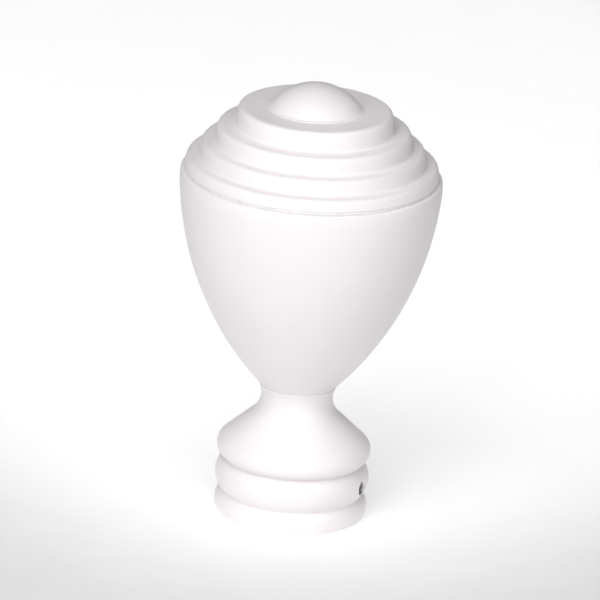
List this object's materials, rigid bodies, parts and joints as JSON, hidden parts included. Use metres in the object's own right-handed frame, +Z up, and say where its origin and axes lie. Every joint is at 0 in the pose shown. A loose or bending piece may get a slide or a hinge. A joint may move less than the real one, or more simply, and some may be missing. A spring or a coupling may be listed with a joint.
{
  "type": "fence post cap",
  "caption": "Urn-shaped cap with a stepped lid and a beaded collar that slips over a round post and is gripped by a set screw.",
  "frame": {"origin": "centre of the collar's bottom rim", "axes": "+Z up along the post and the urn, from the socket's mouth to the dome; +X towards the set screw"},
  "size_m": [0.1082, 0.1082, 0.1864],
  "materials": {
    "white_coat": "satin",
    "zinc_steel": "satin",
    "grey_rubber": "matte",
    "stainless": "satin",
    "brass": "satin"
  },
  "bodies": {
    "cap": {"post_collar": "white_coat", "urn_body": "white_coat", "stepped_lid": "white_coat", "top_dome": "white_coat", "tie_rod": "zinc_steel", "rod_nut": "zinc_steel", "spring_washer": "zinc_steel", "flat_washer": "zinc_steel", "lid_gasket": "grey_rubber", "neck_seal_ring": "grey_rubber", "dome_seal_ring": "grey_rubber"},
    "pad": {"screw_pad": "brass"},
    "screw": {"set_screw": "stainless"}
  },
  "joints": [
    {"name": "screw_advance", "type": "slide", "parent": "cap", "child": "pad", "axis": [-1, 0, 0], "range_m": [-0.001, 0.002]},
    {"name": "screw_turn", "type": "hinge", "parent": "pad", "child": "screw", "pos_m": [0.028, 0, 0.0155], "axis": [-1, 0, 0], "range_deg": [-361, 721]}
  ],
  "couplings": [
    {"joint": "screw_turn", "follows": "screw_advance", "rad_per_m": 6283.2}
  ]
}
